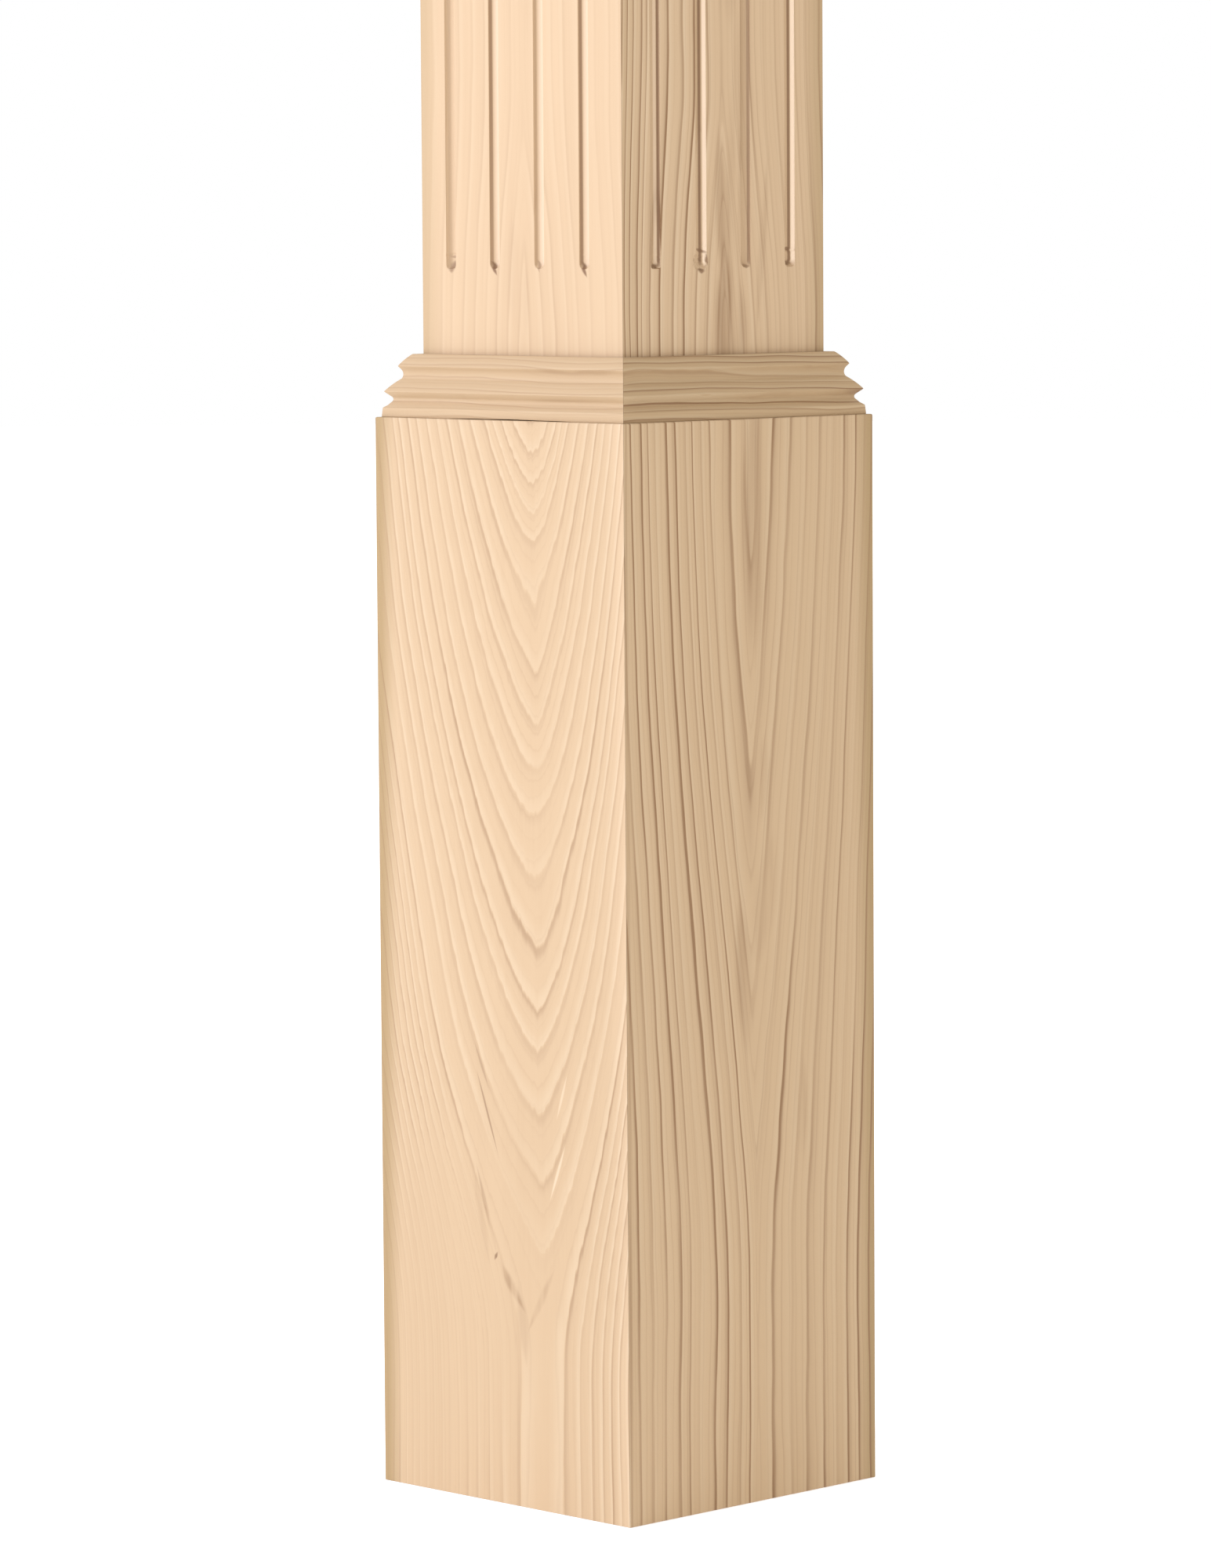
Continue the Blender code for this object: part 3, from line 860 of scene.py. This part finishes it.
def flank_rings(timber, grain, half):
    """Count the growth rings of two nearly straight flanks that lean towards each other."""
    across = timber.across + timber.cloud(*FLANK_DRIFT) * FLANK_WANDER
    high, high_pull, low, low_pull = metres(grain["pull"])
    pull = timber.along.fade(high, low, high_pull, low_pull)
    pull = pull * (across.combine("ABSOLUTE") * (-PULL_FALL / half) + PULL_MIDDLE)
    left = timber.count(across - pull, metres(grain["left"]))
    right = timber.count((across + pull) * -1.0, [-place for place in metres(grain["right"])])
    return left.combine("SMOOTH_MIN", right + grain["match"], FLANK_MERGE)


def arch_rings(timber, grain):
    """Count the growth rings of nested arches that point down."""
    aside = timber.across - timber.along * grain["lean"] - grain["centre"] / 1000
    aside = aside + timber.cloud(*ARCH_DRIFT) * ARCH_WANDER
    blunt = timber.cloud(*ARCH_CHANGES).fade(*ARCH_POINTS)
    off = (aside * aside + blunt * blunt).combine("SQRT") - ARCH_INSET
    rightness = aside.fade(-ARCH_SWITCH, ARCH_SWITCH)
    rises = []
    for (near, far), (low, low_share, high, high_share) in zip(grain["spread"], grain["steepen"]):
        share = timber.along.ramp(low / 1000, high / 1000, low_share, high_share)
        rises.append(off * (off * far + near) * share)
    rise = rises[0] + (rises[1] - rises[0]) * rightness
    height = timber.along.combine("SMOOTH_MAX", ARCH_FOOT, ARCH_BEND)
    feather = timber.cloud(*ARCH_FIBRES) * ARCH_FEATHER
    return timber.count(height - rise + feather, metres(grain["tips"]))


def growth_rings(timber, grain, half):
    """Count the growth rings at every point, wavy along the grain and sunk into the wood."""
    if "tips" in grain:
        rings = arch_rings(timber, grain)
    elif "left" in grain:
        rings = flank_rings(timber, grain, half)
    else:
        rings = timber.across / grain["spacing"]
    for height, spread in zip(grain["waves"], WAVES):
        rings = rings + timber.cloud(*spread) * height
    return rings + (timber.depth + half) * DEPTH_RINGS


def late_wood(timber, rings, seed, shades=()):
    """Darkness of the rings: a soft shoulder, then a thin dark line, different in each ring."""
    number = rings.combine("FLOOR")
    share = rings.combine("FRACT")
    if shades:
        shade = timber.follow(number, list(enumerate(shades)))
    else:
        shade = timber.dice(number, seed) * SHADE_RANGE + LEAST_SHADE
    start = timber.dice(number, seed + SECOND_DICE) * SHOULDER_DELAY + SHOULDER_START
    end = share.fade(*RING_END)
    shoulder = share.fade(start, SHOULDER_FULL) * end
    thin = share.fade(*LINE_RISE) * end
    fading = timber.cloud(*RING_CHANGES, number=number * RING_STEP).fade(*RING_FADING)
    return (shoulder * SHOULDER_SHARE + thin * LINE_SHARE) * fading * shade


def early_wood(timber, grain, half, colours, rings, streak, beside):
    """Colour between the dark lines: pale and warm patches, cream stripes and dull margins."""
    band = timber.cloud(*BANDS, number=rings * RING_BANDS)
    tone = timber.cloud(*PATCHES) * PATCH_TONE + band * BAND_TONE + streak * STREAK_TONE
    base = timber.mixed(tone.fade(*TONE_RANGE), colours.pale, colours.warm)
    base = timber.mixed(beside * grain["cream"], base, colours.cream)
    left, right = grain["edges"]
    toned = timber.across.fade(-half + MARGIN_WIDTH, -half, 0.0, left)
    toned = toned + timber.across.fade(half - MARGIN_WIDTH, half, 0.0, right)
    return timber.mixed(toned + grain.get("tone", 0.0), base, colours.margin)


def marked(timber, base, grain, colours, streak):
    """Lay painted shade and painted highlight along the flutes, and the single marks, over the wood."""
    # Painted shade along a flute's shaded wall, or painted highlight along its lit wall where the
    # strength is below zero
    for across, half_width, strength in grain.get("painted_flute_shading", ()):
        edge = half_width / 1000
        off = (timber.across - across / 1000).combine("ABSOLUTE")
        painted_flute_stripe = off.fade(edge, edge / 3) * timber.along.fade(*FLUTE_SHADING_START)
        colour = colours.mark if strength > 0 else colours.cut
        base = timber.mixed(painted_flute_stripe * streak.fade(*FLUTE_SHADING_FADING) * abs(strength), base, colour)
    # Marks: real marks in the base's wood, and painted shade round the flutes' lower ends on the shaft
    for mark in grain.get("marks", ()):
        colour = colours.mark if mark[-1] > 0 else colours.cream
        base = timber.mixed(timber.lens(mark) * abs(mark[-1]), base, colour)
    return base


def planed(timber, line, fibre):
    """Give the wood its dull shine, and a fine relief of its lines and fibres."""
    plug(timber.shader["Roughness"], line * -LINE_POLISH + fibre * FIBRE_ROUGHNESS + ROUGHNESS)
    plug(timber.shader["Specular IOR Level"], 0.2)
    bump = timber.node("Bump")
    plug(bump.inputs["Distance"], 0.00004)
    plug(bump.inputs["Strength"], 0.3)
    plug(bump.inputs["Height"], line * RELIEF + fibre * RELIEF)
    plug(timber.shader["Normal"], Signal(bump.outputs["Normal"]))


def wood(name, side, half, grain, colours, lying=False):
    """Make the wood of one piece: growth rings in depth, their fading, tone, fibres and marks, with
    painted shade and painted highlight along the flutes.
    """
    timber = Timber(f"{name}_wood", side, lying, grain["seed"])
    rings = growth_rings(timber, grain, half)
    streak = timber.cloud(*STREAKS)
    figure = 1.0 if lying else (timber.depth + half).fade(*DEPTH_FADING)
    for place in grain.get("faint", ()):
        figure = (timber.lens(place) * -place[-1] + 1.0) * figure
    late = late_wood(timber, rings, grain["seed"], grain.get("shades", ()))
    line = late * grain["line"] * figure
    finer = rings * FINE_LINES + timber.cloud(*FINE_DRIFT) * FINE_WANDER
    between = late_wood(timber, finer, grain["seed"])
    beside = rings.combine("FRACT").fade(*CREAM_ENDS) * streak.fade(*CREAM_FADING) * figure
    base = early_wood(timber, grain, half, colours, rings, streak, beside)
    fibre = timber.cloud(*FIBRES)
    darkness = line + between * (grain["line"] * FINE_DARKNESS) + fibre * FIBRE_DARKNESS
    for flame in grain.get("flames", ()):
        darkness = darkness + timber.lens(flame) * streak.fade(*FLAME_FADING) * flame[-1]
    base = timber.mixed(darkness.combine("MAXIMUM", 0.0), base, colours.ring)
    plug(timber.shader["Base Color"], marked(timber, base, grain, colours, streak))
    planed(timber, line, fibre)
    return timber.material


def lying_wood(name, side, half, level, colours):
    """Make the wood of a piece on one side whose grain lies along it, at this height."""
    grain = {**LYING_GRAIN, **MOULDING_GRAIN[side]}
    grain["seed"] += level * LEVEL_SEEDS
    return wood(name, side, half, grain, colours, lying=True)


class NEWEL_OT_base(bpy.types.Operator):
    """Build the four plain boards of the base box"""

    bl_idname = "newel.base"
    bl_label = "Base box"

    def execute(self, context):
        sizes, colours = context.scene.newel_sizes, context.scene.newel_colours
        columns = board_columns(BASE_HALF, sizes.arris_ease)
        ease = sizes.top_ease
        edge = BASE_HIGH.z - ease
        rows = [(height, 0.0) for height in spaced(BASE_LOW.z, edge, SHANK_ROW)]
        for step in range(1, 2 * EASE_STEPS + 1):
            angle = math.radians(90) * step / (2 * EASE_STEPS)
            rows.append((edge + ease * math.sin(angle), ease - ease * math.cos(angle)))
        for side in SIDES:
            name = f"base_board_{side}"
            bm = board_bmesh(
                BASE_HALF, BASE_HIGH.y - BASE_LOW.y, columns, rows, mitre_setback(sizes), plain_face
            )
            material = wood(name, side, BASE_HALF, GRAIN[name], colours)
            finish_piece(bm, f"base_side_{side}", side, [name], material)
        return {"FINISHED"}


class NEWEL_OT_shaft(bpy.types.Operator):
    """Build the four fluted boards of the shaft"""

    bl_idname = "newel.shaft"
    bl_label = "Fluted shaft"

    def execute(self, context):
        sizes, colours = context.scene.newel_sizes, context.scene.newel_colours
        rows = shaft_rows(sizes)
        for side in SIDES:
            name = f"shaft_board_{side}"
            bm = board_bmesh(
                SHAFT_HALF, SHAFT_HIGH.y - SHAFT_LOW.y, shaft_columns(sizes, side), rows,
                mitre_setback(sizes), fluted_face(sizes, side),
            )
            material = wood(name, side, SHAFT_HALF, GRAIN[name], colours)
            finish_piece(bm, f"shaft_side_{side}", side, [name], material)
        return {"FINISHED"}


class NEWEL_OT_collar(bpy.types.Operator):
    """Build the mitred collar on the base's top edge"""

    bl_idname = "newel.collar"
    bl_label = "Collar"

    def execute(self, context):
        sizes, colours = context.scene.newel_sizes, context.scene.newel_colours
        low = COLLAR_LOW.copy()
        low.z = BASE_HIGH.z + sizes.mitre_gap / 2

        def opening(x):
            """Height of the open joint under the front collar, wavy and closed at both ends."""
            along = (x - OPEN_FROM) / (OPEN_TO - OPEN_FROM)
            if not 0.0 < along < 1.0:
                return 0.0
            wave = 1 + OPEN_CHANGE * noise.noise(Vector((x * OPEN_WAVES, 0.0, 0.0)))
            return sizes.joint_opening * wave * math.sqrt(math.sin(math.pi * along))

        for side in SIDES:
            name = f"collar_moulding_{side}"
            joint = opening if side == "front" else closed_joint
            bm = moulding_bmesh(COLLAR_OUTLINE, low, COLLAR_HIGH, sizes, joint)
            material = lying_wood(name, side, BASE_HALF, COLLAR_LOW.z, colours)
            finish_piece(bm, f"collar_{side}", side, [name], material)
        return {"FINISHED"}


class NEWEL_OT_cap(bpy.types.Operator):
    """Build the cove moulding and the pyramid cap"""

    bl_idname = "newel.cap"
    bl_label = "Cap"

    def execute(self, context):
        sizes, colours = context.scene.newel_sizes, context.scene.newel_colours
        for side in SIDES:
            name = f"cap_moulding_{side}"
            bm = moulding_bmesh(COVE_OUTLINE, COVE_LOW, COVE_HIGH, sizes, closed_joint)
            material = lying_wood(name, side, BASE_HALF, COVE_LOW.z, colours)
            finish_piece(bm, f"cove_{side}", side, [name], material)
        bm = bmesh.new()
        bmesh.ops.create_cube(bm, size=1.0)
        for vert in bm.verts:
            vert.co.x *= 2 * CAP_HIGH.x
            vert.co.y *= 2 * CAP_HIGH.y
            vert.co.z = CAP_LOW.z + CAP_THICKNESS if vert.co.z > 0 else CAP_LOW.z
        bm.faces.ensure_lookup_table()
        top = max(bm.faces, key=lambda face: face.calc_center_median().z)
        bmesh.ops.inset_region(bm, faces=[top], thickness=CAP_LEDGE, use_even_offset=True)
        peak = bmesh.ops.poke(bm, faces=[top])["verts"][0]
        peak.co.z = CAP_HIGH.z
        sharp = [edge for edge in bm.edges if edge.calc_face_angle() > CAP_CORNER_ANGLE]
        bmesh.ops.bevel(bm, geom=sharp, offset=CAP_EASE, segments=4, profile=0.5,
                        affect="EDGES", material=-1)
        material = lying_wood("cap", "front", CAP_HIGH.x, CAP_LOW.z, colours)
        finish_piece(bm, "cap_board", "front", ["cap"], material)
        return {"FINISHED"}


def add_camera(scene, stage):
    """Put the camera before the post's front corner, looking down a little."""
    data = bpy.data.cameras.new("camera")
    data.lens = stage.lens
    data.sensor_width = 36.0
    data.clip_end = 100.0
    camera = bpy.data.objects.new("camera", data)
    dipped = Matrix.Rotation(math.radians(90) - stage.dip, 4, "X")
    aim = Matrix.Rotation(stage.heading, 4, "Z") @ dipped @ Matrix.Rotation(-stage.roll, 4, "Z")
    corner = Matrix.Rotation(math.radians(45), 4, "Z")
    spot = corner @ Vector((stage.aside, -stage.distance, stage.height))
    camera.matrix_world = Matrix.Translation(spot) @ aim
    scene.collection.objects.link(camera)
    scene.camera = camera


def add_floor(scene, stage):
    """Lay a round paper floor under the post."""
    bm = bmesh.new()
    bmesh.ops.create_circle(bm, cap_ends=True, segments=96, radius=stage.floor_radius)
    bmesh.ops.translate(bm, verts=bm.verts, vec=(0, 0, -FLOOR_DROP))
    mesh = bpy.data.meshes.new("floor")
    bm.to_mesh(mesh)
    bm.free()
    paper = bpy.data.materials.new("floor_paper")
    paper.use_nodes = True
    shader = paper.node_tree.nodes["Principled BSDF"].inputs
    plug(shader["Base Color"], (*stage.floor_colour, 1.0))
    plug(shader["Roughness"], 0.9)
    plug(shader["Specular IOR Level"], 0.0)
    plug(shader["Emission Color"], WHITE)
    plug(shader["Emission Strength"], stage.floor_glow)
    mesh.materials.append(paper)
    floor = bpy.data.objects.new("floor", mesh)
    scene.collection.objects.link(floor)


def add_sky(scene, stage):
    """Surround the post with even white light."""
    world = bpy.data.worlds.new("studio")
    world.use_nodes = True
    background = world.node_tree.nodes["Background"].inputs
    plug(background["Color"], WHITE)
    plug(background["Strength"], stage.sky)
    scene.world = world


def add_lamp(scene, stage, name):
    """Hang one round lamp that shines at the post from its own direction."""
    lamp = bpy.data.lights.new(name, "AREA")
    lamp.shape = "DISK"
    lamp.size = getattr(stage, f"{name}_size")
    lamp.energy = getattr(stage, f"{name}_power")
    lamp.color = stage.lamp_colour
    turn, rise = getattr(stage, f"{name}_turn"), getattr(stage, f"{name}_rise")
    level = math.cos(rise)
    direction = Vector((math.sin(turn) * level, -math.cos(turn) * level, math.sin(rise)))
    aim = direction.to_track_quat("Z", "Y").to_matrix().to_4x4()
    light = bpy.data.objects.new(name, lamp)
    light.matrix_world = Matrix.Translation(LIT_SPOT + direction * stage.lamp_distance) @ aim
    scene.collection.objects.link(light)


class NEWEL_OT_stage(bpy.types.Operator):
    """Set up the camera, the floor and the soft studio light"""

    bl_idname = "newel.stage"
    bl_label = "Studio"

    def execute(self, context):
        scene = context.scene
        stage = scene.newel_stage
        add_camera(scene, stage)
        add_floor(scene, stage)
        add_sky(scene, stage)
        for name in ("key", "graze"):
            add_lamp(scene, stage, name)
        scene.view_settings.view_transform = "Standard"
        return {"FINISHED"}


class NEWEL_PT_panel(bpy.types.Panel):
    """Lists the post's sizes, colours and studio, and the operators that build them"""

    bl_idname = "NEWEL_PT_panel"
    bl_label = "Newel Post"
    bl_space_type = "VIEW_3D"
    bl_region_type = "UI"
    bl_category = "Newel Post"

    def draw(self, context):
        for key in GROUPS:
            group = getattr(context.scene, key)
            box = self.layout.box()
            for name in group.__annotations__:
                box.prop(group, name)
        for operator in OPERATORS:
            self.layout.operator(operator.bl_idname)


OPERATORS = (NEWEL_OT_base, NEWEL_OT_shaft, NEWEL_OT_collar, NEWEL_OT_cap, NEWEL_OT_stage)
GROUPS = {"newel_sizes": NewelSizes, "newel_colours": NewelColours, "newel_stage": NewelStage}


def register():
    """Make the groups, operators and panel known to Blender."""
    for item in (*GROUPS.values(), *OPERATORS, NEWEL_PT_panel):
        bpy.utils.register_class(item)
    for name, group in GROUPS.items():
        setattr(bpy.types.Scene, name, bpy.props.PointerProperty(type=group))


def unregister():
    """Take them away again."""
    for name in GROUPS:
        delattr(bpy.types.Scene, name)
    for item in (NEWEL_PT_panel, *OPERATORS, *GROUPS.values()):
        bpy.utils.unregister_class(item)


def main():
    """Build the post and its studio."""
    register()
    bpy.ops.newel.base()
    bpy.ops.newel.shaft()
    bpy.ops.newel.collar()
    bpy.ops.newel.cap()
    bpy.ops.newel.stage()


if __name__ == "__main__":
    main()
